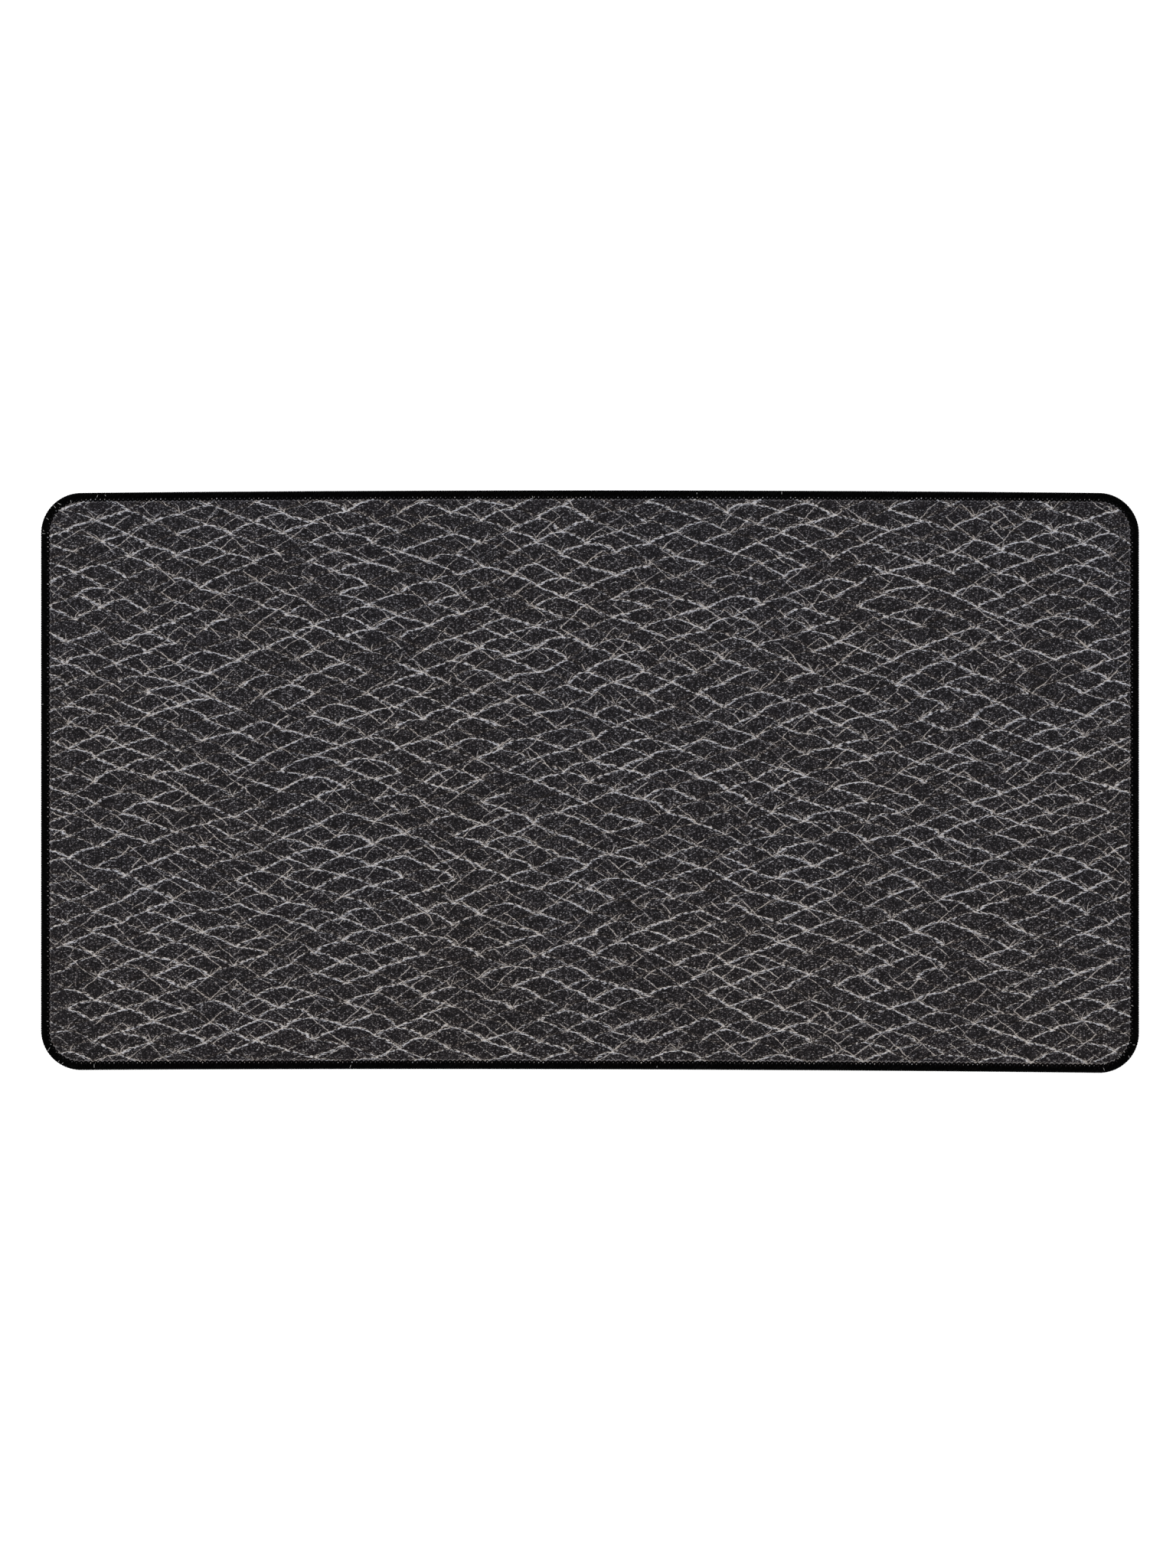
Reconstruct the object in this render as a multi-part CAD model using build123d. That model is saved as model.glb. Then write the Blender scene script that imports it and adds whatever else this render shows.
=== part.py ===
from build123d import *

import os

# Desk mat with an overlocked edge. Sizes are in millimetres. The origin is the centre of the resting
# face: X runs along the mat, Y across it and Z up.
#
# A printed cloth is bonded by a hot-melt film to a foam rubber base, and a three-thread overlock
# stitch sews the layers together round the edge. The upper looper thread covers the top of the edge
# with a row of loops, the lower looper thread covers the underside in the same way, and they meet
# half way up. The needle thread runs over the upper loops, in the groove that it presses into them.
# Its legs, which go down through the layers once a stitch, are inside the mat and are left out.

# The whole mat
mat_length = 600.0
mat_width = 316.5
mat_thickness = 4.0
corner_radius = 22.0

# The layers, away from the edge
cloth_thickness = 0.5
film_thickness = 0.1

# The sewn edge. Every inset is a distance inwards from the mat's outer edge.
looper_thickness = 0.5  # how thick the looper threads lie on the layers
turn_radius = 1.0  # rounding of the looper threads where they turn over the edge
loop_reach = 5.2  # inset of the loops' inner tips
loop_cusp = 4.55  # inset of the points where two loops meet
needle_inset = 4.25  # the line that the needle thread runs along
stitch_pitch = 2.55  # from one stitch to the next
needle_thread = 0.34  # the needle thread's diameter
needle_clearance = 0.02  # between the needle thread and each side of its groove
ramp_width = 1.1  # the layers thin down to the sewn edge over this distance
plain_width = 4.0  # a plain strip of the edge's section, inside the ramp

# Heights and insets that follow from those
cloth_bottom = mat_thickness - cloth_thickness
foam_top = cloth_bottom - film_thickness
edge_middle = mat_thickness / 2
ramp_end = loop_reach + ramp_width
core_inset = ramp_end + plain_width


def outline(inset):
    """The mat's rounded outline as a face, smaller by an inset on every side."""
    length = mat_length - 2 * inset
    width = mat_width - 2 * inset
    return RectangleRounded(length, width, corner_radius - inset)


def swept_edge(section):
    """A closed ring: a section, drawn in (inset, height), carried round the mat's outline."""
    path = outline(0).wire()
    along = path % 0
    inwards = Vector(0, 0, 1).cross(along)
    if inwards.dot(path @ 0) > 0:
        along = along * -1
        inwards = inwards * -1
    at_start = Plane(origin=path @ 0, x_dir=inwards, z_dir=along)
    return sweep(at_start * make_face(section), path=path)


def layer(bottom, top, edge_bottom, edge_top):
    """A plate that keeps its own heights inside the ramp and takes the edge's heights outside it."""
    section = Polyline(
        (looper_thickness, edge_bottom),
        (loop_reach, edge_bottom),
        (ramp_end, bottom),
        (core_inset, bottom),
        (core_inset, top),
        (ramp_end, top),
        (loop_reach, edge_top),
        (looper_thickness, edge_top),
        close=True,
    )
    core = Pos(0, 0, bottom) * extrude(outline(core_inset), top - bottom)
    return core + swept_edge(section)


def stitch_point(count, inset):
    """The point a number of stitches along the needle line, moved to another inset."""
    share = (count / stitches) % 1
    along = needle_line % share
    inwards = Vector(0, 0, 1).cross(along)
    if inwards.dot(needle_line @ share) > 0:
        inwards = inwards * -1
    return needle_line @ share + inwards * (inset - needle_inset)


def needle_ring(clearance):
    """The needle thread's row of stitches as a ring of square section, flush with the top of the mat."""
    half_width = needle_thread / 2 + clearance
    outer = outline(needle_inset - half_width).wire()
    inner = outline(needle_inset + half_width).wire()
    return Pos(0, 0, mat_thickness - needle_thread) * extrude(Face(outer, [inner]), needle_thread)


def looper_band():
    """The upper looper thread: a flat band with a loop at each stitch, and its turn over the edge."""
    loops = []
    for count in range(stitches):
        start = stitch_point(count - 0.5, loop_cusp)
        tip = stitch_point(count, loop_reach)
        end = stitch_point(count + 0.5, loop_cusp)
        loops.append(ThreePointArc(start, tip, end))
    flat = Face(outline(turn_radius).wire(), [Wire(loops)])
    band = Pos(0, 0, mat_thickness - looper_thickness) * extrude(flat, looper_thickness)

    turn_height = mat_thickness - turn_radius
    layer_edge = mat_thickness - looper_thickness
    inner = Polyline(
        (turn_radius, mat_thickness),
        (turn_radius, layer_edge),
        (looper_thickness, layer_edge),
        (looper_thickness, edge_middle),
        (0, edge_middle),
        (0, turn_height),
    )
    outer = CenterArc((turn_radius, turn_height), turn_radius, 90, 90)
    return band + swept_edge(inner + outer)


def write(node, shape):
    """Writes one sub-part and prints its number of solids and its volume."""
    export_step(shape, f"parts/{node}.step")
    print(node, len(shape.solids()), round(shape.volume))


needle_line = outline(needle_inset).wire()
stitches = round(needle_line.length / stitch_pitch)

# The layers keep their thickness and step down by a looper thread's thickness under the stitches;
# the foam gives way by as much again on its underside.
printed_top_cloth = layer(
    bottom=cloth_bottom,
    top=mat_thickness,
    edge_bottom=cloth_bottom - looper_thickness,
    edge_top=mat_thickness - looper_thickness,
)
bonding_film = layer(
    bottom=foam_top,
    top=cloth_bottom,
    edge_bottom=foam_top - looper_thickness,
    edge_top=cloth_bottom - looper_thickness,
)
foam_rubber_base = layer(
    bottom=0,
    top=foam_top,
    edge_bottom=looper_thickness,
    edge_top=foam_top - looper_thickness,
)

# The looper threads are mirror images, but only the upper one has the needle thread laid in it.
band = looper_band()
upper_looper_thread = band.cut(needle_ring(needle_clearance))
lower_looper_thread = mirror(band, about=Plane.XY.offset(edge_middle))
needle_thread_row = needle_ring(0)

os.makedirs("parts", exist_ok=True)
write("printed_top_cloth", printed_top_cloth)
write("bonding_film", bonding_film)
write("foam_rubber_base", foam_rubber_base)
write("upper_looper_thread", upper_looper_thread)
write("lower_looper_thread", lower_looper_thread)
write("needle_thread", needle_thread_row)
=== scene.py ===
import bpy
import numpy as np
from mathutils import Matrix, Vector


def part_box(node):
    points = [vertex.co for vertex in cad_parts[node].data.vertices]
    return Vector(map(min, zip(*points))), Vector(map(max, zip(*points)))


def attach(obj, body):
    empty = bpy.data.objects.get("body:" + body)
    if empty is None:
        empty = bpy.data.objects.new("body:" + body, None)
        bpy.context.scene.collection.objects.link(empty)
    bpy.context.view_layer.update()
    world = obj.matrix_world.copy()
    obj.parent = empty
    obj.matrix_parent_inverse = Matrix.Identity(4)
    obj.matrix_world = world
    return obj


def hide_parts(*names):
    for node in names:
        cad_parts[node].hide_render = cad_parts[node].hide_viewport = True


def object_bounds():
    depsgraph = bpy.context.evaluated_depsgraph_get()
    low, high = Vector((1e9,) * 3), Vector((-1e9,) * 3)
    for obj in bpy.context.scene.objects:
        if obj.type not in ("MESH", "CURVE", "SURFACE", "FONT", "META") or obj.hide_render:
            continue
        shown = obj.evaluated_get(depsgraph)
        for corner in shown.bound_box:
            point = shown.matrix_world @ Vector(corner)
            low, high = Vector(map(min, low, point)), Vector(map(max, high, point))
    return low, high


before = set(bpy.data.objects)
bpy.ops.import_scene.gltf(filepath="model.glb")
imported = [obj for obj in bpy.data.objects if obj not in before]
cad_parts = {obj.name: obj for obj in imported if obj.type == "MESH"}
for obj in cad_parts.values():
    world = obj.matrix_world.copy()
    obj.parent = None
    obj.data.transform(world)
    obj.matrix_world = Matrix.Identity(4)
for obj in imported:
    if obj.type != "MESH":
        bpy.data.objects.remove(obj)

# A desk mat: printed cloth on foam rubber, its edge overlocked with three threads.
# Lengths are in metres, and in millimetres inside the materials and the stitch tables. A place on the
# sewn edge is given by how many stitches along the edge it is, its inset from the mat's outer edge,
# and its height.

cad_low, cad_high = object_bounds()
MM = 0.001

# The mat, from the frame
SIZE = cad_high - cad_low
TOP = cad_high.z
CLOTH_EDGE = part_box("printed_top_cloth")[1].x
LOOPER_DEPTH = cad_high.x - CLOTH_EDGE
CLOTH_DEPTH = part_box("printed_top_cloth")[1].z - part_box("bonding_film")[1].z
FILM_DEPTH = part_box("bonding_film")[1].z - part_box("foam_rubber_base")[1].z
NEEDLE_LOW, NEEDLE_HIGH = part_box("needle_thread")
NEEDLE_DEPTH = NEEDLE_HIGH.z - NEEDLE_LOW.z
NEEDLE_INSET = cad_high.x - NEEDLE_HIGH.x + NEEDLE_DEPTH / 2
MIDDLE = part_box("upper_looper_thread")[0].z

# The sewn edge
CORNER_RADIUS = 22 * MM
STITCH = 2.55 * MM
LOOP_REACH = 5.2 * MM
RAMP_END = 6.3 * MM
CUSP_INSET = 4.5 * MM
EYE_INSET = 4.0 * MM

# The grip pattern underneath
GRIP_DEPTH = 0.22 * MM


# ---------------------------------------------------------------- the edge, and the mesh maker

CORE_X = SIZE.x / 2 - CORNER_RADIUS
CORE_Y = SIZE.y / 2 - CORNER_RADIUS
QUARTER = (CORNER_RADIUS - NEEDLE_INSET) * np.pi / 2
RUNS = np.array([CORE_Y, QUARTER, 2 * CORE_X, QUARTER, 2 * CORE_Y, QUARTER, 2 * CORE_X, QUARTER, CORE_Y])
CORNER_STARTS = np.cumsum(RUNS)[[0, 2, 4, 6]]
STITCHES = round(RUNS.sum() / STITCH)


def edge(along, inset):
    """Places on a ring round the mat, and the directions that point outwards there.

    A rounded rectangle is a small circle carried round a plain one. Its centre walks the inner
    rectangle at a steady pace and waits at each corner, while the outward direction waits along each
    side and turns a quarter at each corner. A place is the centre, plus the outward direction times
    the corner radius less the inset.
    """
    knots = np.concatenate([[0], np.cumsum(RUNS)]) / RUNS.sum() * STITCHES
    along = np.mod(along, STITCHES)
    centre_x = np.interp(along, knots, CORE_X * np.array([1, 1, 1, -1, -1, -1, -1, 1, 1, 1]))
    centre_y = np.interp(along, knots, CORE_Y * np.array([0, 1, 1, 1, 1, -1, -1, -1, -1, 0]))
    turn = np.interp(along, knots, np.pi / 2 * np.array([0, 0, 1, 1, 2, 2, 3, 3, 4, 4]))
    out_x, out_y = np.cos(turn), np.sin(turn)
    reach = CORNER_RADIUS - inset
    return centre_x + reach * out_x, centre_y + reach * out_y, out_x, out_y


def hand_cut(points):
    """The mat's slight lack of squareness: each long side bows by about half a millimetre.

    The far side is a shallow parabola about the middle and the near side one about a point to the
    left, so its right end sags. In between, the two are mixed by how far across the mat a point is.
    """
    x = points[..., 0]
    across = points[..., 1] / SIZE.y + 0.5
    far_rise, far_curve = 0.5 * MM, 0.018
    near_rise, near_curve, near_peak = 0.6 * MM, 0.015, -0.095
    far = far_rise - far_curve * x**2
    near = near_rise - near_curve * (x - near_peak) ** 2
    points[..., 1] += near + (far - near) * across
    return points


def make_piece(name, points, faces, node, material, uv=None):
    """A mesh from points, an array of places, and faces, a list of arrays of point numbers.

    uv, if given, is a list of arrays like faces with a pair of numbers for each corner.
    """
    mesh = bpy.data.meshes.new(name)
    rows = [row for block in faces for row in block.tolist()]
    mesh.from_pydata(hand_cut(points.reshape(-1, 3)).tolist(), [], rows)
    mesh.polygons.foreach_set("use_smooth", np.full(len(rows), True))
    if uv is not None:
        layer = mesh.uv_layers.new(name="UVMap")
        layer.data.foreach_set("uv", np.concatenate([block.reshape(-1) for block in uv]))
    mesh.validate()
    piece = bpy.data.objects.new(name, mesh)
    bpy.context.scene.collection.objects.link(piece)
    mesh.materials.append(material)
    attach(piece, "root")
    if node is not None:
        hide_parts(node)
    return piece


def between_rings(first, count, second, fewer):
    """Faces between a ring of points and the next one, which has the same number or a part of it.

    Equal rings are joined by four-sided faces. Otherwise the points between two of the next ring's
    are shared out to them as fans of triangles, with one triangle between the two fans.
    """
    step = count // fewer
    j = np.arange(fewer)
    near, near_next = second + j, second + (j + 1) % fewer

    def outer(k):
        return first + (j * step + k) % count

    if step == 1:
        return [np.stack([outer(0), outer(1), near_next, near], axis=1)]
    half = step // 2
    faces = [np.stack([near, outer(k), outer(k + 1)], axis=1) for k in range(half)]
    faces.append(np.stack([near, outer(half), near_next], axis=1))
    faces += [np.stack([near_next, outer(k), outer(k + 1)], axis=1) for k in range(half, step)]
    return faces


def stack_rings(rings):
    """Points and faces of a closed shell made of rings, listed so that its faces point outwards.

    Each ring is (number of points, inset, height), and the numbers only fall to a part of the one
    before or rise to a multiple of it. The first and last rings are closed by a flat face.
    """
    points, faces, starts, total = [], [], [], 0
    for count, inset, height in rings:
        along = np.arange(count) * STITCHES / count
        inset = inset(along) if callable(inset) else np.full(count, inset)
        height = height(along, inset) if callable(height) else np.full(count, height)
        x, y, _, _ = edge(along, inset)
        points.append(np.stack([x, y, height], axis=1))
        starts.append(total)
        total += count
    for (count, _, _), (next_count, _, _), a, b in zip(rings, rings[1:], starts, starts[1:]):
        if count >= next_count:
            faces += between_rings(a, count, b, next_count)
        else:
            faces += [block[:, ::-1] for block in between_rings(b, next_count, a, count)]
    first_count, last_count = rings[0][0], rings[-1][0]
    faces.append(np.arange(first_count)[None, ::-1])
    faces.append(starts[-1] + np.arange(last_count)[None, :])
    return np.concatenate(points), faces


def carry_profile(path, lift, width, depth, sides):
    """Points, faces and UVs of a closed yarn: a flattened round profile carried along a closed path.

    path holds the places along it and lift the direction of its flat side's face at each. The way
    along is the difference between the places before and after. The profile's wide axis is across
    the way and the lift, its thin axis is across those two, and a point of it is the place plus
    the wide axis times half the width times a cosine, plus the thin axis times half the depth
    times a sine.
    """
    count = len(path)
    way = np.roll(path, -1, axis=0) - np.roll(path, 1, axis=0)
    way /= np.linalg.norm(way, axis=1, keepdims=True)
    wide = np.cross(way, lift)
    wide /= np.linalg.norm(wide, axis=1, keepdims=True)
    thin = np.cross(wide, way)
    turn = np.arange(sides) * 2 * np.pi / sides
    points = (path[:, None, :]
              + wide[:, None, :] * (width / 2)[:, None, None] * np.cos(turn)[None, :, None]
              + thin[:, None, :] * (depth / 2)[:, None, None] * np.sin(turn)[None, :, None])
    k = np.repeat(np.arange(count), sides)
    j = np.tile(np.arange(sides), count)
    k_next, j_next = (k + 1) % count, (j + 1) % sides
    quads = np.stack([k * sides + j, k_next * sides + j, k_next * sides + j_next, k * sides + j_next], axis=1)
    run = np.concatenate([[0], np.cumsum(np.linalg.norm(np.diff(path, axis=0, append=path[:1]), axis=1))])
    u0, u1 = run[k] / STITCH, run[k + 1] / STITCH
    v0, v1 = j / sides, (j + 1) / sides
    uv = np.stack([u0, v0, u1, v0, u1, v1, u0, v1], axis=1)
    return points.reshape(-1, 3), [quads], [uv]


# ---------------------------------------------------------------- materials


class Field:
    """A number that varies over a surface. Arithmetic on fields adds Math nodes to their tree."""

    def __init__(self, tree, socket):
        self.tree = tree
        self.socket = socket

    def math(self, operation, *others):
        node = self.tree.nodes.new("ShaderNodeMath")
        node.operation = operation
        for slot, value in zip(node.inputs, (self, *others)):
            if isinstance(value, Field):
                self.tree.links.new(value.socket, slot)
            else:
                slot.default_value = value
        return Field(self.tree, node.outputs[0])

    def __add__(self, other):
        return self.math("ADD", other)

    def __sub__(self, other):
        return self.math("SUBTRACT", other)

    def __mul__(self, other):
        return self.math("MULTIPLY", other)

    def __truediv__(self, other):
        return self.math("DIVIDE", other)

    __radd__ = __add__
    __rmul__ = __mul__

    def __rsub__(self, other):
        return (self * -1.0) + other

    def fraction(self):
        return self.math("FRACT")

    def floor(self):
        return self.math("FLOOR")

    def size(self):
        return self.math("ABSOLUTE")

    def larger(self, other):
        return self.math("MAXIMUM", other)

    def smaller(self, other):
        return self.math("MINIMUM", other)

    def bell(self, width):
        """One at zero, falling to nothing a few widths away."""
        scaled = self / width
        return (scaled * scaled * -1.0).math("EXPONENT")

    def step(self, low, high):
        """Rises smoothly from 0 at low to 1 at high."""
        node = self.tree.nodes.new("ShaderNodeMapRange")
        node.interpolation_type = "SMOOTHSTEP"
        self.tree.links.new(self.socket, node.inputs["Value"])
        node.inputs["From Min"].default_value = low
        node.inputs["From Max"].default_value = high
        return Field(self.tree, node.outputs["Result"])


def vector(tree, x, y, z=0.0):
    """Three fields or numbers as one vector."""
    node = tree.nodes.new("ShaderNodeCombineXYZ")
    for slot, value in zip(node.inputs, (x, y, z)):
        if isinstance(value, Field):
            tree.links.new(value.socket, slot)
        else:
            slot.default_value = value
    return node.outputs[0]


def parts(tree, socket):
    """A vector or colour as three fields."""
    node = tree.nodes.new("ShaderNodeSeparateXYZ")
    tree.links.new(socket, node.inputs[0])
    return [Field(tree, out) for out in node.outputs]


def noise(tree, where, grain, detail=2.0, roughness=0.5):
    """Three independent noises about zero, mostly within one half, with features of about a grain."""
    node = tree.nodes.new("ShaderNodeTexNoise")
    node.inputs["Scale"].default_value = 1.0 / grain
    node.inputs["Detail"].default_value = detail
    node.inputs["Roughness"].default_value = roughness
    tree.links.new(where, node.inputs["Vector"])
    return [(part - 0.5) * 2.0 for part in parts(tree, node.outputs["Color"])]


def draw(tree, *keys):
    """Three random numbers from 0 to 1 that are the same wherever the keys are."""
    node = tree.nodes.new("ShaderNodeTexWhiteNoise")
    node.noise_dimensions = "3D"
    tree.links.new(vector(tree, *keys), node.inputs["Vector"])
    return parts(tree, node.outputs["Color"])


def dots(tree, x, y, grain, reach):
    """Round dots scattered about a grain apart, out to a reach in grains, and a random brightness."""
    node = tree.nodes.new("ShaderNodeTexVoronoi")
    node.feature = "F1"
    node.inputs["Scale"].default_value = 1.0 / grain
    tree.links.new(vector(tree, x, y, grain), node.inputs["Vector"])
    dot = 1.0 - Field(tree, node.outputs["Distance"]).step(0.0, reach)
    return dot, parts(tree, node.outputs["Color"])[0]


def off_centre(number):
    """Distance past the nearest whole number, from minus a half to a half."""
    return (number + 0.5).fraction() - 0.5


def stroke(distance, half_width, soft=0.16):
    """A drawn line: 1 within half a width of distance zero, with soft sides."""
    return (half_width - distance.size()).step(-soft, soft)


def linear(level):
    """A grey or colour from 0 to 255 as the light it sends back."""
    share = np.asarray(level, float) / 255
    return np.where(share < 0.04045, share / 12.92, ((share + 0.055) / 1.055) ** 2.4)


def ramp(tree, value, stops):
    """A colour that runs through the stops, each (place, (red, green, blue)) with colours to 255."""
    node = tree.nodes.new("ShaderNodeValToRGB")
    marks = node.color_ramp.elements
    while len(marks) < len(stops):
        marks.new(0.5)
    for mark, (place, colour) in zip(marks, stops):
        mark.position = place
        mark.color = (*linear(colour), 1.0)
    tree.links.new(value.socket, node.inputs["Fac"])
    return node.outputs["Color"]


def new_material(name):
    """An empty material, its node tree and its shader."""
    material = bpy.data.materials.new(name)
    material.use_nodes = True
    tree = material.node_tree
    return material, tree, tree.nodes["Principled BSDF"]


def bump(tree, shader, height, distance, strength=1.0):
    """Raises the surface by a height field times a distance in metres."""
    node = tree.nodes.new("ShaderNodeBump")
    node.inputs["Strength"].default_value = strength
    node.inputs["Distance"].default_value = distance
    tree.links.new(height.socket, node.inputs["Height"])
    tree.links.new(node.outputs["Normal"], shader.inputs["Normal"])


def object_millimetres(tree):
    """The place on the piece, in millimetres, as three fields."""
    place = tree.nodes.new("ShaderNodeTexCoord")
    scale = tree.nodes.new("ShaderNodeMapping")
    scale.inputs["Scale"].default_value = (1000, 1000, 1000)
    tree.links.new(place.outputs["Object"], scale.inputs["Vector"])
    return parts(tree, scale.outputs["Vector"])


# The print's two nets, in millimetres: the width and height of a scale, and how far its edges bow.
# A seed sets one net's random numbers apart from the other's.
SCALE_WIDTH, SCALE_HEIGHT, SCALE_BOW, SCALE_SEED = 30.0, 11.8, 1.45, 0.0
FINE_WIDTH, FINE_HEIGHT, FINE_BOW, FINE_SEED = 15.0, 12.0, 0.3, 40.0


def crease_net(tree, x, y, across, tall, arch, seed):
    """Two families of creases that cross at the nodes of a staggered grid of scales.

    A falling line is where x/across + y/tall is whole, and a rising one where y/tall - x/across is.
    Between two nodes each is lifted by a parabola of its own random bow. Gives the distance to the
    nearest line of each family with three random numbers for that stretch, and both counts.
    """
    falling = x / across + y / tall
    rising = y / tall - x / across
    lift = 4.0 * arch / tall
    past_falling, past_rising = falling.fraction(), rising.fraction()
    bow_falling = draw(tree, (falling + 0.5).floor() + seed, rising.floor(), 5.0)[0] * 1.1 + 0.15
    bow_rising = draw(tree, (rising + 0.5).floor() + seed, falling.floor(), 6.0)[0] * 1.1 + 0.15
    falling_line = falling - past_rising * (1.0 - past_rising) * bow_falling * lift
    rising_line = rising - past_falling * (1.0 - past_falling) * bow_rising * lift
    spread = 1.0 / (1.0 / across**2 + 1.0 / tall**2) ** 0.5
    creases = []
    for line, other, key in ((falling_line, rising_line, 1.0), (rising_line, falling_line, 2.0)):
        mood = draw(tree, (line + 0.5).floor() + seed, other.floor(), key)
        creases.append((off_centre(line) * spread, mood))
    return creases, falling_line, rising_line


def stubs(tree, falling, rising, seed, bend, longest, thick):
    """Strokes that fan out from each node of the net, each with its own length.

    They point to the left and right and towards the far side, and reach is the distance from the node.
    """
    from_falling, from_rising = off_centre(falling), off_centre(rising)
    x = (from_falling - from_rising) * (SCALE_WIDTH / 2)
    y = (from_falling + from_rising) * (SCALE_HEIGHT / 2)
    reach = (x * x + y * y).math("SQRT")
    mood = draw(tree, (falling + 0.5).floor(), (rising + 0.5).floor(), seed)
    per_turn = 1.5
    turns = y.math("ARCTAN2", x) * per_turn + mood[0] * 3.0 + bend * 0.25
    each = draw(tree, (turns + 0.5).floor(), mood[1] * 50.0, seed)
    ray = off_centre(turns) * reach / per_turn
    fade = 1.0 - (reach / (each[0] * longest + 1.0)).step(0.6, 1.0)
    in_fan = y.step(0.2, 1.0) * (x / (reach + 0.01)).size().step(0.35, 0.6)
    return stroke(ray, thick * fade * in_fan * each[1].step(0.1, 0.5), soft=0.12)


def leather_print(tree, x0, y0):
    """How light the print is, from 0 to 1, and how warm its ink is.

    A net of light creases lies over dark, speckled scales. Each crease is a thin core among streaks:
    a noise drawn out along the crease, that comes up over a threshold where the crease is near. A
    finer, steeper net of hairlines and stubs at the nodes break it up. The ink is cool along a crease,
    warm on its far side and along the hairlines, and a little warmer towards the mat's near side.
    Distances are in millimetres, and the plain factors are weights.
    """
    broad = noise(tree, vector(tree, x0, y0), grain=70.0, detail=1.0)
    middle = noise(tree, vector(tree, x0, y0 * 1.4, 7.0), grain=17.0, detail=1.0)
    small = noise(tree, vector(tree, x0, y0 * 1.6, 21.0), grain=3.4, detail=1.0, roughness=0.6)
    fray = noise(tree, vector(tree, x0 * 0.7, y0 * 1.5, 3.0), grain=1.3, detail=1.0, roughness=0.6)
    grit = noise(tree, vector(tree, x0, y0, 33.0), grain=0.6, detail=1.0, roughness=0.6)

    x = x0 + broad[0] * 11.0 + middle[0] * 2.8
    y = y0 + broad[1] * 6.0 + middle[1] * 1.6
    net, falling, rising = crease_net(tree, x, y, SCALE_WIDTH, SCALE_HEIGHT, SCALE_BOW, SCALE_SEED)
    x = x0 + middle[1] * 2.5 + broad[2] * 9.0
    y = y0 + middle[0] * 2.0
    fine_net, _, _ = crease_net(tree, x, y, FINE_WIDTH, FINE_HEIGHT, FINE_BOW, FINE_SEED)
    cores, streaks, hairs, near, side = [], [], [], [], []
    for k, lean in ((0, 0.2), (1, -0.2)):
        distance, mood = net[k]
        distance = distance + small[k] * 0.5
        strength = mood[0].step(-0.3, 0.75)
        fine_distance, fine_mood = fine_net[k]
        fine_distance = fine_distance + small[2 - k] * 0.5 + fray[1 - k] * 0.3
        drawn_out = vector(tree, x0 * 0.45, (y0 + x0 * lean) * 1.65, 9.0 * k)
        drawn = noise(tree, drawn_out, grain=1.0, detail=1.5, roughness=0.6)
        pull = distance.bell(0.85) * (strength * 0.8 + 0.12)
        faint = fine_distance.bell(0.6) * fine_mood[0].step(0.0, 0.9) * 0.66
        lit = drawn[0] * 2.7 + pull.larger(faint) * 1.1 - 0.88
        streaks.append(lit.step(-0.02, 0.18) * (pull * 0.55 + drawn[1] * 0.5 + 0.62))
        wavered = distance + drawn[2] * 2.2 + fray[k] * 0.6
        core = stroke(wavered, fray[2] * 0.40 + strength * 0.20 - 0.11, soft=0.11)
        cores.append(core * (strength * 0.3 + 0.7))
        hairs.append(stroke(fine_distance, fray[k] * 0.40 + fine_mood[1] * 0.50 - 0.24, soft=0.12))
        near.append(pull + lit.step(-0.7, 0.0) * 0.5)
        side.append(distance.step(-0.5, 0.5) * distance.bell(1.6))
    beside = near[0].larger(near[1])
    hair = hairs[0].larger(hairs[1]) * (grit[2] * 0.5 + 0.76)

    bend = small[2] + fray[0] * 0.6
    stub = stubs(tree, falling, rising, seed=9.0, bend=bend, longest=6.5, thick=0.3)
    crease = cores[0].larger(cores[1]).larger(streaks[0]).larger(streaks[1])
    crease = crease.larger(hair).larger(stub * 0.68) * (grit[0] * 0.5 + 0.95)

    close, close_level = dots(tree, x0, y0 * 1.25, grain=1.3, reach=0.56)
    wide, wide_level = dots(tree, x0, y0 * 1.25, grain=2.0, reach=0.40)
    clumps = noise(tree, vector(tree, x0, y0, 55.0), grain=6.0, detail=1.0)[0]
    speckle = (close * close_level).larger(wide * wide_level) * (clumps * 0.6 + 0.70)
    ground = (0.024 + grit[1] * 0.22) * (1.0 - beside * 0.5)
    tone = crease.larger(speckle * (1.0 - beside * 0.45) + ground)
    warmth = side[0].larger(side[1]) * 0.9 + hair * 0.5 - beside * 0.45 + grit[2] * 0.8
    warmth = warmth + broad[2] * 0.25 + 0.46 - y0 * 0.0009
    return tone, warmth


WARM_INKS = [
    (0.0, (16, 13, 13)),
    (0.12, (41, 36, 36)),
    (0.35, (88, 81, 79)),
    (0.7, (166, 158, 152)),
    (1.0, (214, 206, 198)),
]
COOL_INKS = [
    (0.0, (13, 12, 16)),
    (0.12, (37, 36, 41)),
    (0.35, (79, 78, 84)),
    (0.7, (150, 150, 157)),
    (1.0, (194, 195, 203)),
]


# A Mix node's sockets for colours share their names with those for numbers, so they go by place
FIRST_COLOUR, SECOND_COLOUR, MIXED_COLOUR = 6, 7, 2


def blend_inks(tree, share, cool, warm):
    """A mix of two colours: the share of the second one is a field."""
    node = tree.nodes.new("ShaderNodeMix")
    node.data_type = "RGBA"
    tree.links.new(share.socket, node.inputs["Factor"])
    tree.links.new(cool, node.inputs[FIRST_COLOUR])
    tree.links.new(warm, node.inputs[SECOND_COLOUR])
    return node.outputs[MIXED_COLOUR]


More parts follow.
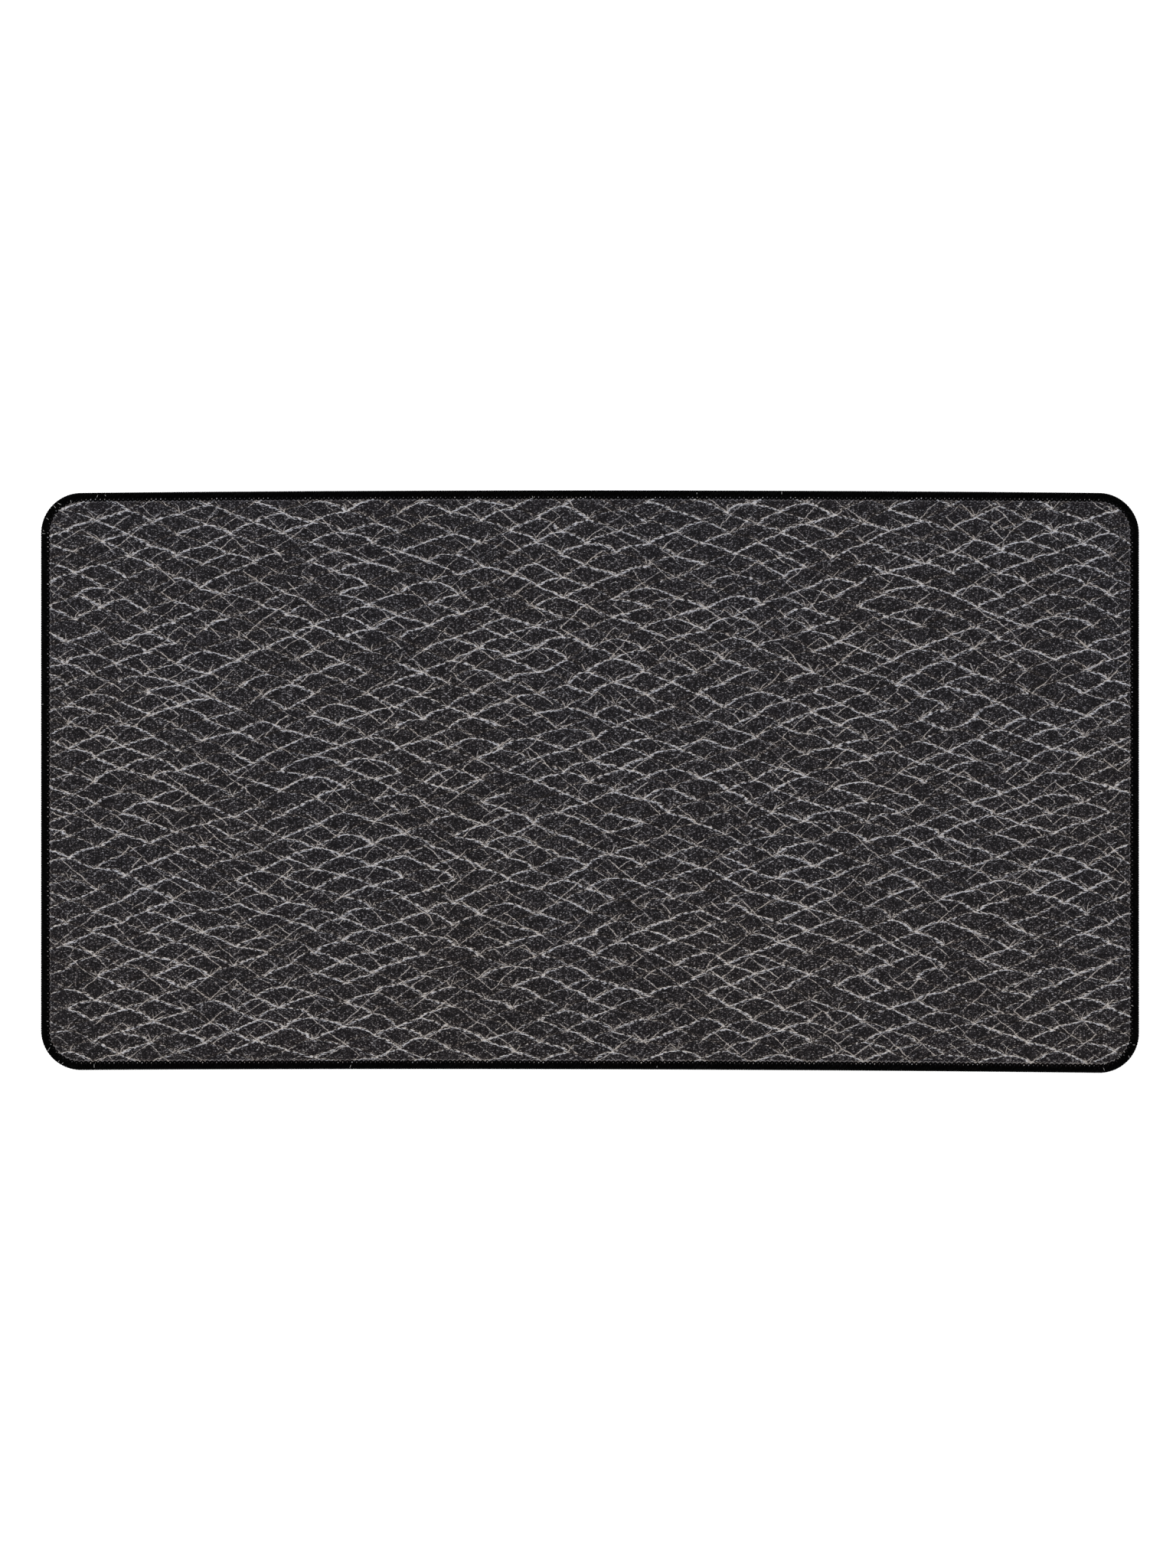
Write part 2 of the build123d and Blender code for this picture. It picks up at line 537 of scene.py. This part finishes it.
def printed_cloth():
    """Matt woven cloth with the leather print, bare light yarn where the stitches wear the print away, and
    painted shade under the threads and on the cloth's lower face.
    """
    material, tree, shader = new_material("printed_cloth")
    x, y, _ = object_millimetres(tree)
    tone, warmth = leather_print(tree, x, y)
    rubbed_and_shaded = tree.nodes.new("ShaderNodeAttribute")
    rubbed_and_shaded.attribute_name = "rubbed_and_shaded"
    rub_and_shade = Field(tree, rubbed_and_shaded.outputs["Fac"])
    patchy = noise(tree, vector(tree, x, y, 91.0), grain=1.6, detail=1.0)[0].step(-0.5, 0.4)
    # Below 0 the attribute darkens the print towards black: painted shade under the threads and on the
    # cloth's lower face. Above 0 it shows bare light yarn.
    tone = (tone * (rub_and_shade.smaller(0.0) + 1.0)).larger(rub_and_shade * (patchy * 0.7 + 0.3))
    inks = blend_inks(tree, warmth, ramp(tree, tone, COOL_INKS), ramp(tree, tone, WARM_INKS))
    tree.links.new(inks, shader.inputs["Base Color"])

    thread_pitch = 0.32
    weave = (x * (np.pi / thread_pitch)).math("SINE") * (y * (np.pi / thread_pitch)).math("SINE")
    slub = noise(tree, vector(tree, x, y, 12.0), grain=1.2)[0]
    bump(tree, shader, weave * 0.5 + slub + tone * 0.8, distance=0.05 * MM, strength=0.5)
    roughness = 0.82 + slub * 0.1 - tone * 0.06
    tree.links.new(roughness.socket, shader.inputs["Roughness"])
    shader.inputs["Specular IOR Level"].default_value = 0.12
    shader.inputs["Sheen Weight"].default_value = 0.04
    shader.inputs["Sheen Roughness"].default_value = 0.5
    return material


def yarn(name, plies, lightness, fuzz):
    """Black yarn: twisted plies and fine fibres along it, a little lighter where it is worn."""
    material, tree, shader = new_material(name)
    uv = tree.nodes.new("ShaderNodeUVMap")
    uv.uv_map = "UVMap"
    along, around, _ = parts(tree, uv.outputs["UV"])
    twist = ((along * plies + around) * (2 * np.pi)).math("SINE")
    fibres = noise(tree, vector(tree, along * 2.0, around * 9.0, along * 0.3), grain=0.5)
    x, y, z = object_millimetres(tree)
    wear = noise(tree, vector(tree, x, y, z), grain=9.0)[0]
    level = (fibres[0] * 0.6 + twist * 0.25 + wear * 0.35 + 0.4) * lightness
    stops = [(0.0, (0, 0, 0)), (0.5, (1, 1, 1)), (1.0, (16, 16, 16))]
    tree.links.new(ramp(tree, level, stops), shader.inputs["Base Color"])
    bump(tree, shader, fibres[1] * 0.6 + twist * 0.5, distance=0.06 * MM, strength=0.7)
    tree.links.new((0.7 + fibres[2] * 0.15).socket, shader.inputs["Roughness"])
    shader.inputs["Specular IOR Level"].default_value = 0.02
    shader.inputs["Sheen Weight"].default_value = fuzz
    shader.inputs["Sheen Roughness"].default_value = 0.6
    return material


def foam_rubber():
    """Black foam rubber: fine pores, and a little greyer with dust in the grooves between the ribs."""
    material, tree, shader = new_material("foam_rubber")
    x, y, z = object_millimetres(tree)
    pores = noise(tree, vector(tree, x, y, z), grain=0.5, roughness=0.6)[0]
    cloud = noise(tree, vector(tree, x, y, z), grain=30.0)[0]
    dust = z.step(0.02, GRIP_DEPTH / MM)
    level = 0.2 + pores * 0.25 + cloud * 0.2 + dust * 0.45
    stops = [(0.0, (20, 20, 21)), (0.5, (34, 34, 35)), (1.0, (60, 59, 58))]
    tree.links.new(ramp(tree, level, stops), shader.inputs["Base Color"])
    bump(tree, shader, pores, distance=0.06 * MM, strength=0.7)
    tree.links.new((0.78 + pores * 0.12).socket, shader.inputs["Roughness"])
    shader.inputs["Specular IOR Level"].default_value = 0.3
    return material


def hot_melt_film():
    """Cloudy adhesive film."""
    material, tree, shader = new_material("hot_melt_film")
    x, y, z = object_millimetres(tree)
    cloud = noise(tree, vector(tree, x, y, z), grain=8.0, detail=3.0)[0]
    stops = [(0.0, (150, 147, 136)), (1.0, (190, 187, 176))]
    tree.links.new(ramp(tree, cloud * 0.5 + 0.5, stops), shader.inputs["Base Color"])
    tree.links.new((0.5 + cloud * 0.2).socket, shader.inputs["Roughness"])
    return material


def bare_fibre():
    """Undyed polyester fibre."""
    material, tree, shader = new_material("bare_fibre")
    x, y, z = object_millimetres(tree)
    cloud = noise(tree, vector(tree, x, y, z), grain=2.0, detail=1.0)[0]
    stops = [(0.0, (150, 148, 146)), (1.0, (225, 224, 222))]
    tree.links.new(ramp(tree, cloud * 0.5 + 0.5, stops), shader.inputs["Base Color"])
    tree.links.new((0.6 + cloud * 0.1).socket, shader.inputs["Roughness"])
    shader.inputs["Sheen Weight"].default_value = 0.1
    return material


# ---------------------------------------------------------------- the layers

# How many points a ring has: six a stitch, three a stitch, or one for every two stitches
FINE = STITCHES * 6
MIDDLING = FINE // 2
COARSE = STITCHES // 2

# The layers end where the threads begin, and lie flat from the plain inset inwards
LAYER_EDGE = LOOPER_DEPTH
PLAIN_INSET = 9 * MM


def smooth_step(value, low, high):
    """0 up to low, 1 from high, and an S-curve between."""
    share = np.clip((value - low) / (high - low), 0, 1)
    return share * share * (3 - 2 * share)


def from_eye(along):
    """Distance along the edge from the nearest loop's eye, in stitches."""
    return np.mod(along, 1) - 0.5


def at_corner(along):
    """1 round the mat's corners and 0 along its sides, with a short ramp between."""
    per_metre = STITCHES / RUNS.sum()
    middles = (CORNER_STARTS + QUARTER / 2) * per_metre
    gap = np.abs(np.mod(along, STITCHES)[..., None] - middles).min(axis=-1)
    reach = QUARTER / 2 * per_metre
    return 1 - smooth_step(gap, reach * 0.8, reach * 1.1)


def cloth_height(along, inset):
    """Height of the cloth's upper face near the stitches.

    It ramps down by a looper's depth from the plain mat to the sewn edge. Each loop's tip presses a
    dimple in the ramp, a bell in both directions, the cloth puffs up a little between two tips, and
    a nub of it is squeezed up through the loop's eye.
    """
    dimple_depth, pucker_height, nub_height = 0.14 * MM, 0.04 * MM, 0.40 * MM
    dimple_along, dimple_across, pucker_across = 0.22, 0.7 * MM, 1.6 * MM
    nub_along, nub_across = 0.16, 0.32 * MM
    ramp_down = 1 - smooth_step(inset, LOOP_REACH - 0.2 * MM, RAMP_END)
    height = TOP - LOOPER_DEPTH * ramp_down
    near_tip = np.exp(-((from_eye(along) / dimple_along) ** 2))
    across = np.exp(-(((inset - LOOP_REACH) / dimple_across) ** 2))
    pucker = np.cos(2 * np.pi * along) * np.exp(-(((inset - RAMP_END) / pucker_across) ** 2))
    nub = np.exp(-((from_eye(along) / nub_along) ** 2 + ((inset - EYE_INSET) / nub_across) ** 2))
    nub = nub * (1 - at_corner(along))
    return height - dimple_depth * near_tip * across + pucker_height * pucker + nub_height * nub


def cloth_wear_and_shade(along, inset, dice):
    """How bare the print is worn, from 0 to 1: a thin line beyond the loops, and in their eyes.

    The line is a bell across the edge, stronger on the near side, and an eye's spot is a bell both
    ways with its own random strength. Under the threads, outside the eyes, it is below 0: painted
    shade that darkens the cloth where the gaps between the yarns lie in shadow.
    """
    gap, line_across = 0.25 * MM, 0.3 * MM
    spot_along, spot_across, spot_strength = 0.18, 0.4 * MM, 1.3
    beyond = loop_line(along) + gap
    _, _, _, out_y = edge(along, inset)
    near_side = np.clip(-out_y, 0, 1)
    line = np.exp(-(((inset - beyond) / line_across) ** 2)) * (0.62 + 0.28 * near_side)
    pricked = dice.random(STITCHES) ** 1.3
    stitch = np.floor(along).astype(int) % STITCHES
    eye = np.exp(-((from_eye(along) / spot_along) ** 2 + ((inset - EYE_INSET) / spot_across) ** 2))
    bare = np.maximum(line, eye * pricked[stitch] * spot_strength * (1 - 0.85 * at_corner(along)))
    # Painted shade: under the threads, outside the eyes, the value is pushed below 0.
    under = 1 - smooth_step(inset, 4.1 * MM, 4.8 * MM)
    return np.clip(bare - under * (1 - smooth_step(eye, 0.1, 0.6)), -1, 1)


def loop_line(along):
    """Inset of the line along the loops' tips: a row of parabolas, one a stitch, that meet in cusps."""
    sag = LOOP_REACH - CUSP_INSET
    return LOOP_REACH - sag * (2 * from_eye(along)) ** 2


def printed_top_cloth(material):
    """The printed cloth: a shell of rings, finest where the loops press into it.

    Its lower face is its own thickness below, and its upper face follows cloth_height.
    """
    edge_low = TOP - LOOPER_DEPTH - CLOTH_DEPTH
    insets = np.array([0.5, 2.6, 3.5, 3.8, 4.1, 4.4, 4.7, 4.95, 5.2, 5.45, 5.75, 6.1]) * MM
    rings = [
        (COARSE, PLAIN_INSET, TOP - CLOTH_DEPTH),
        (COARSE, RAMP_END, TOP - CLOTH_DEPTH),
        (COARSE, LOOP_REACH, edge_low),
        (COARSE, LAYER_EDGE, edge_low),
    ]
    rings += [(FINE, inset, cloth_height) for inset in insets]
    rings += [(MIDDLING, inset, cloth_height) for inset in (6.8 * MM, 7.8 * MM)]
    rings += [(COARSE, PLAIN_INSET, TOP), (COARSE, 20 * MM, TOP)]
    points, faces = stack_rings(rings)
    piece = make_piece("printed_top_cloth", points, faces, "printed_top_cloth", material)

    # Each ring's value: worn bare spots above 0, painted shade below 0. The cloth's lower face and its edge
    # under the threads are all painted shade, at -1.
    rubbed_and_shaded = []
    for count, inset, height in rings:
        along = np.arange(count) * STITCHES / count
        on_top = callable(height) or height == TOP
        dice = np.random.default_rng(11)
        rubbed_and_shaded.append(cloth_wear_and_shade(along, np.full(count, inset), dice) if on_top else np.full(count, -1.0))
    attribute = piece.data.attributes.new("rubbed_and_shaded", "FLOAT", "POINT")
    attribute.data.foreach_set("value", np.concatenate(rubbed_and_shaded))
    return piece


def bonding_film(material):
    """The adhesive film: a thin plate that steps down to the sewn edge with the cloth."""
    top, bottom = TOP - CLOTH_DEPTH, TOP - CLOTH_DEPTH - FILM_DEPTH
    rings = [
        (COARSE, PLAIN_INSET, bottom),
        (COARSE, RAMP_END, bottom),
        (COARSE, LOOP_REACH, bottom - LOOPER_DEPTH),
        (COARSE, LAYER_EDGE, bottom - LOOPER_DEPTH),
        (COARSE, LAYER_EDGE, top - LOOPER_DEPTH),
        (COARSE, LOOP_REACH, top - LOOPER_DEPTH),
        (COARSE, RAMP_END, top),
        (COARSE, PLAIN_INSET, top),
    ]
    points, faces = stack_rings(rings)
    piece = make_piece("bonding_film", points, faces, "bonding_film", material)


def ribs(x, y):
    """Depth of the grip pattern's grooves: wavy ribs across the mat, each one a raised cosine."""
    pitch, sway, wave = 3.0 * MM, 1.6 * MM, 24 * MM
    shifted = x + sway * np.sin(2 * np.pi * y / wave)
    return GRIP_DEPTH * (0.5 - 0.5 * np.cos(2 * np.pi * shifted / pitch)) ** 1.5


def ribbed_underside():
    """The underside's places, as a grid of two parameters laid on the rounded outline.

    The first gives x, with closer columns in the corners, and the second gives y as a share of the
    outline's half width at that x. The height is the ribs', fading out before the outline.
    """
    rib_inset, faded = 7.2 * MM, 1.5 * MM
    columns_in_corner, columns_between, rows_across = 16, 741, 85
    radius = CORNER_RADIUS - rib_inset
    turn = np.linspace(0, np.pi / 2, columns_in_corner + 1)[1:]
    corner = CORE_X + radius * np.sin(turn)
    columns = np.concatenate([-corner[::-1], np.linspace(-CORE_X, CORE_X, columns_between), corner])
    past = np.clip(np.abs(columns) - CORE_X, 0, radius)
    half = CORE_Y + np.sqrt(radius**2 - past**2)
    share = np.linspace(-1, 1, rows_across)
    x = np.repeat(columns[:, None], len(share), axis=1)
    y = half[:, None] * share[None, :]
    fade = smooth_step(half[:, None] - np.abs(y), 0, faded) * smooth_step(corner[-1] - np.abs(x), 0, faded)
    return np.stack([x, y, ribs(x, y) * fade], axis=2)


def foam_rubber_base(material):
    """The foam rubber: a ribbed underside and its edge, squeezed thinner under the stitches.

    Rings outside the underside, drawn out along the outline's outward direction, make the edge, and
    one flat face closes the top.
    """
    underside = ribbed_underside()
    wide, tall, _ = underside.shape
    number = np.arange(wide * tall).reshape(wide, tall)
    quads = np.stack([number[:-1, :-1], number[:-1, 1:], number[1:, 1:], number[1:, :-1]], axis=2)
    rim = np.concatenate([number[:-1, 0], number[-1, :-1], number[:0:-1, -1], number[0, :0:-1]])
    points = underside.reshape(-1, 3)
    start = points[rim]
    core = np.stack([np.clip(start[:, 0], -CORE_X, CORE_X), np.clip(start[:, 1], -CORE_Y, CORE_Y)], axis=1)
    out = start[:, :2] - core
    out /= np.linalg.norm(out, axis=1, keepdims=True)
    foam_top = TOP - CLOTH_DEPTH - FILM_DEPTH
    profile = [
        (RAMP_END, 0), (LOOP_REACH, LOOPER_DEPTH), (LAYER_EDGE, LOOPER_DEPTH),
        (LAYER_EDGE, foam_top - LOOPER_DEPTH), (LOOP_REACH, foam_top - LOOPER_DEPTH), (RAMP_END, foam_top),
    ]
    blocks, faces = [points], [quads.reshape(-1, 4)]
    ring, count = rim, len(rim)
    for inset, height in profile:
        place = core + out * (CORNER_RADIUS - inset)
        begin = sum(len(block) for block in blocks)
        blocks.append(np.column_stack([place, np.full(count, height)]))
        next_ring = begin + np.arange(count)
        faces.append(np.stack([ring, np.roll(ring, -1), np.roll(next_ring, -1), next_ring], axis=1))
        ring = next_ring
    faces.append(ring[None, :])
    piece = make_piece("foam_rubber_base", np.concatenate(blocks), faces, "foam_rubber_base", material)
    return piece


# ---------------------------------------------------------------- the overlock


LOWER_FLATTENED = 0.96
LOOP_LENGTH = 4.0
LOOP_SLANT = 0.22


def looper(name, material, upper, dice):
    """A looper thread: one closed yarn with a loop over each stitch.

    In one stitch it rises from the middle of the edge, turns over the edge, runs inwards, goes
    round the needle thread in a loop and comes back beside itself. It runs straight between the
    places of that stitch, which are listed one by one. Each stitch leans and reaches a little differently,
    all of them slant by a share of a stitch over a loop's length, and the yarn spreads out round the
    corners. The lower thread is the upper one turned over, half a stitch on and flatter, to stay off
    the floor.
    """
    # Stitches along. Inset, height above the middle, width and depth, in millimetres. The lift, from
    # 0 for outwards to 1 for up.
    stitch = np.array([
        (0.00, 0.28, -0.22, 1.00, 0.44, 0.00),
        (0.17, 0.26, 0.45, 1.15, 0.44, 0.02),
        (0.24, 0.30, 1.15, 1.25, 0.46, 0.12),
        (0.25, 0.78, 1.66, 1.30, 0.48, 0.62),
        (0.245, 1.75, 1.78, 1.34, 0.50, 1.00),
        (0.235, 2.95, 1.76, 1.26, 0.48, 1.00),
        (0.215, 3.85, 1.74, 0.86, 0.46, 1.00),
        (0.29, 4.52, 1.72, 0.78, 0.44, 1.00),
        (0.50, 4.80, 1.70, 0.84, 0.42, 1.00),
        (0.71, 4.52, 1.72, 0.78, 0.44, 1.00),
        (0.785, 3.85, 1.76, 0.86, 0.46, 1.00),
        (0.765, 2.95, 1.80, 1.26, 0.48, 1.00),
        (0.755, 1.75, 1.84, 1.34, 0.50, 1.00),
        (0.75, 0.78, 1.72, 1.30, 0.48, 0.62),
        (0.76, 0.30, 1.15, 1.25, 0.46, 0.12),
        (0.83, 0.26, 0.45, 1.15, 0.44, 0.02),
    ])
    ahead, inward, up, wide, deep, lift_up = np.moveaxis(np.tile(stitch, (STITCHES, 1, 1)), -1, 0)
    number = np.arange(STITCHES)[:, None]
    at_tip = smooth_step(inward, 3.0, 4.8)

    # Each stitch varies on its own, and in slow waves along the edge
    lean_spread, reach_spread, fat_spread = 0.03, 0.07, 0.05
    lean = dice.normal(0, lean_spread, (STITCHES, 1)) + 0.02 * np.sin(number * 0.21)
    reach = dice.normal(0, reach_spread, (STITCHES, 1))
    fat = 1 + dice.normal(0, fat_spread, (STITCHES, 1)) + 0.03 * np.sin(number * 0.13)
    fan_out = (CORNER_RADIUS - inward * MM) / (CORNER_RADIUS - NEEDLE_INSET) - 1
    fat = fat + fan_out * at_corner(number + ahead)

    slant = LOOP_SLANT * (inward - LOOP_LENGTH) / LOOP_LENGTH
    along = (number + ahead + slant + lean * at_tip).reshape(-1)
    inset = ((inward + reach * at_tip) * MM).reshape(-1)
    height = (up * MM).reshape(-1)
    width = (wide * fat).reshape(-1) * MM
    depth = deep.reshape(-1) * MM
    side = 1 if upper else -1
    if not upper:
        along = along + 0.5
        height = height * LOWER_FLATTENED
    x, y, out_x, out_y = edge(along, inset)
    path = np.stack([x, y, MIDDLE + side * height], axis=1)
    tilt = lift_up.reshape(-1) * np.pi / 2
    lift = np.stack([out_x * np.cos(tilt), out_y * np.cos(tilt), side * np.sin(tilt)], axis=1)
    points, faces, uv = carry_profile(path, lift, width, depth, sides=6)
    piece = make_piece(name, points, faces, name, material, uv)


def needle_thread(material, dice):
    """The needle thread: from each loop's eye over the yarn to the next, and down through the layers.

    In one stitch it comes up the hole, lies along the top in a shallow arch over the looper, goes
    down the next hole, and turns round the lower looper under the mat.
    """
    # Stitches along from the eye. Inset from the needle line and height above the top, in millimetres.
    stitch = np.array([
        (0.06, 0.00, -3.62),
        (0.07, 0.00, -2.00),
        (0.08, 0.02, -0.55),
        (0.15, 0.04, -0.22),
        (0.32, 0.06, -0.12),
        (0.50, 0.08, -0.08),
        (0.68, 0.06, -0.12),
        (0.85, 0.04, -0.22),
        (0.92, 0.02, -0.55),
        (0.93, 0.00, -2.00),
        (0.94, 0.00, -3.62),
        (1.00, 0.05, -3.78),
    ])
    ahead, inward, up = np.moveaxis(np.tile(stitch, (STITCHES, 1, 1)), -1, 0)
    number = np.arange(STITCHES)[:, None]
    first_eye, sway_spread, thickness = 0.5, 0.05, 0.30 * MM
    on_top = up > -0.3
    sway = dice.normal(0, sway_spread, (STITCHES, 1)) * on_top
    along = (number + first_eye + ahead).reshape(-1)
    inset = (NEEDLE_INSET + (inward + sway) * MM).reshape(-1)
    height = TOP + up.reshape(-1) * MM
    x, y, out_x, out_y = edge(along, inset)
    path = np.stack([x, y, height], axis=1)
    lift = np.stack([out_x, out_y, np.full(len(x), 0.3)], axis=1)
    thick = np.full(len(x), thickness)
    points, faces, uv = carry_profile(path, lift, thick, thick, sides=5)
    piece = make_piece("needle_thread", points, faces, "needle_thread", material, uv)


def cut_fibres(material, dice):
    """Loose ends of bare fibre from the cut cloth that lie across the stitches, mostly at the corners.

    Each is a five-sided spindle along a short arc: its radius is the root of a sine of the way along.
    """
    corners = CORNER_STARTS / RUNS.sum() * STITCHES + QUARTER / STITCH / 2
    count, places, sides = 34, 7, 5
    rest_height, arch_height, thickest = 0.12 * MM, 0.10 * MM, 0.11 * MM
    along = np.concatenate([dice.normal(corners[k % 4], 5.0, 1) for k in range(count)])
    along[::4] = dice.random(len(along[::4])) * STITCHES
    inset = dice.choice([0.7, 1.3, 3.2, 4.4], count) * MM
    length = dice.uniform(0.8, 2.4, count) * MM
    heading = dice.normal(0, 0.35, count)
    share = np.linspace(0, 1, places)
    inward = inset[:, None] + length[:, None] * share[None, :] * np.cos(heading)[:, None]
    aside = along[:, None] + length[:, None] / STITCH * share[None, :] * np.sin(heading)[:, None]
    height = TOP + rest_height + arch_height * np.sin(np.pi * share)[None, :] + 0 * inward
    x, y, _, _ = edge(aside, inward)
    path = np.stack([x, y, height], axis=2)
    way = np.gradient(path, axis=1)
    way /= np.linalg.norm(way, axis=2, keepdims=True)
    wide = np.cross(way, np.array([0.0, 0.0, 1.0]))
    up = np.cross(wide, way)
    radius = thickest * np.sqrt(np.sin(np.pi * np.clip(share, 0.02, 0.98)))
    turn = np.arange(sides) * 2 * np.pi / sides
    points = (path[:, :, None, :]
              + wide[:, :, None, :] * (radius[:, None] * np.cos(turn))[None, :, :, None]
              + up[:, :, None, :] * (radius[:, None] * np.sin(turn))[None, :, :, None])
    number = np.arange(count * places * sides).reshape(count, places, sides)
    after = np.roll(number, -1, axis=2)
    quads = np.stack([number[:, :-1], number[:, 1:], after[:, 1:], after[:, :-1]], axis=3).reshape(-1, 4)
    caps = [number[:, 0, :], number[:, -1, ::-1]]
    piece = make_piece("cut_fibres", points, [quads, *caps], None, material)


# ---------------------------------------------------------------- the mat

black_yarn = yarn("looper_yarn", plies=0.8, lightness=1.0, fuzz=0.004)
tight_thread = yarn("needle_yarn", plies=3.0, lightness=0.9, fuzz=0.004)
cloth = printed_top_cloth(printed_cloth())
bonding_film(hot_melt_film())
base = foam_rubber_base(foam_rubber())
looper("upper_looper_thread", black_yarn, upper=True, dice=np.random.default_rng(1))
looper("lower_looper_thread", black_yarn, upper=False, dice=np.random.default_rng(2))
needle_thread(tight_thread, np.random.default_rng(3))
cut_fibres(bare_fibre(), np.random.default_rng(4))


# ---------------------------------------------------------------- floor, light and camera


def white_floor():
    """A pale floor that gives off some light of its own, so that it is white and shadows stay faint."""
    material, _, shader = new_material("white_floor")
    shader.inputs["Base Color"].default_value = (0.9, 0.9, 0.9, 1)
    shader.inputs["Roughness"].default_value = 0.9
    shader.inputs["Emission Color"].default_value = (1, 1, 1, 1)
    shader.inputs["Emission Strength"].default_value = 0.7
    mesh = bpy.data.meshes.new("floor")
    reach = 12.0
    corners = [(-reach, -reach, 0), (reach, -reach, 0), (reach, reach, 0), (-reach, reach, 0)]
    mesh.from_pydata(corners, [], [(0, 1, 2, 3)])
    mesh.materials.append(material)
    floor = bpy.data.objects.new("floor", mesh)
    bpy.context.scene.collection.objects.link(floor)


def soft_box(name, place, size, power):
    """A square area light that faces the mat."""
    light = bpy.data.lights.new(name, "AREA")
    light.size = size
    light.energy = power
    lamp = bpy.data.objects.new(name, light)
    bpy.context.scene.collection.objects.link(lamp)
    lamp.location = place
    lamp.rotation_euler = (-lamp.location).to_track_quat("-Z", "Y").to_euler()


scene = bpy.context.scene
scene.view_settings.view_transform = "Standard"
scene.world = bpy.data.worlds.new("studio")
scene.world.use_nodes = True
scene.world.node_tree.nodes["Background"].inputs["Color"].default_value = (1, 1, 1, 1)
scene.world.node_tree.nodes["Background"].inputs["Strength"].default_value = 0.75
white_floor()
soft_box("far_left_light", place=(-1.2, 1.4, 2.2), size=1.6, power=14)

# The lens and the sensor's longer side in millimetres, the picture's width as a share of its height,
# and the width and centre of what is seen at the mat's top
LENS = 85
SENSOR = 36
PICTURE_SHAPE = 3 / 4
VIEW_WIDTH = 0.6421
VIEW_CENTRE = (-0.0011, -0.0018)
camera = bpy.data.cameras.new("camera")
camera.lens = LENS
camera.sensor_width = SENSOR
viewer = bpy.data.objects.new("camera", camera)
scene.collection.objects.link(viewer)
distance = VIEW_WIDTH * LENS / (SENSOR * PICTURE_SHAPE)
viewer.location = (*VIEW_CENTRE, TOP + distance)
scene.camera = viewer
